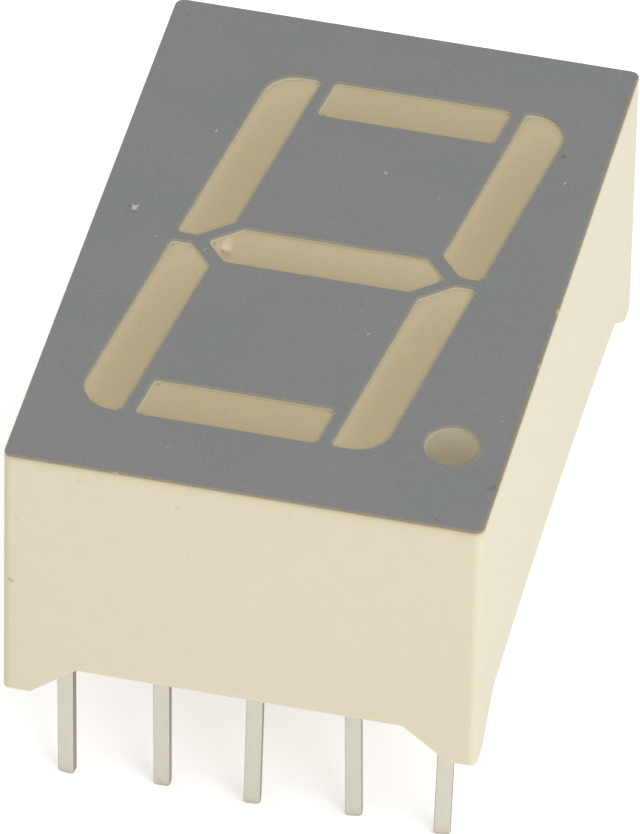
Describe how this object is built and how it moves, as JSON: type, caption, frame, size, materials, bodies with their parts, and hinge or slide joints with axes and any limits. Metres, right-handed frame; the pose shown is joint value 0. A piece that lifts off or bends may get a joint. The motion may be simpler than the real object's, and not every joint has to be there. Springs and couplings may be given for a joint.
{
  "type": "seven segment display",
  "caption": "Box-shaped numeral display with slanted light bars, a round decimal point and rows of straight pins below.",
  "frame": {"origin": "centre of the pin grid, at the level of the feet's undersides", "axes": "+Z out of the display face, +Y towards the top of the digit, +X towards the decimal point's side"},
  "size_m": [0.0126, 0.019, 0.0122],
  "materials": {
    "housing_plastic": "moulded, faintly satin",
    "face_ink": "flat printed ink",
    "epoxy": "cast, tinted and milky",
    "tin_plate": "satin tin plate",
    "die": "sawn crystal",
    "gold_wire": "drawn"
  },
  "bodies": {
    "root": {"housing": "housing_plastic", "face_print": "face_ink", "epoxy_fill": "epoxy", "common_lead": "tin_plate", "lead_a": "tin_plate", "lead_b": "tin_plate", "lead_c": "tin_plate", "lead_d": "tin_plate", "lead_e": "tin_plate", "lead_f": "tin_plate", "lead_g": "tin_plate", "lead_dp": "tin_plate", "die_a": "die", "die_b": "die", "die_c": "die", "die_d": "die", "die_e": "die", "die_f": "die", "die_g": "die", "die_dp": "die", "wire_a": "gold_wire", "wire_b": "gold_wire", "wire_c": "gold_wire", "wire_d": "gold_wire", "wire_e": "gold_wire", "wire_f": "gold_wire", "wire_g": "gold_wire", "wire_dp": "gold_wire"}
  },
  "joints": []
}
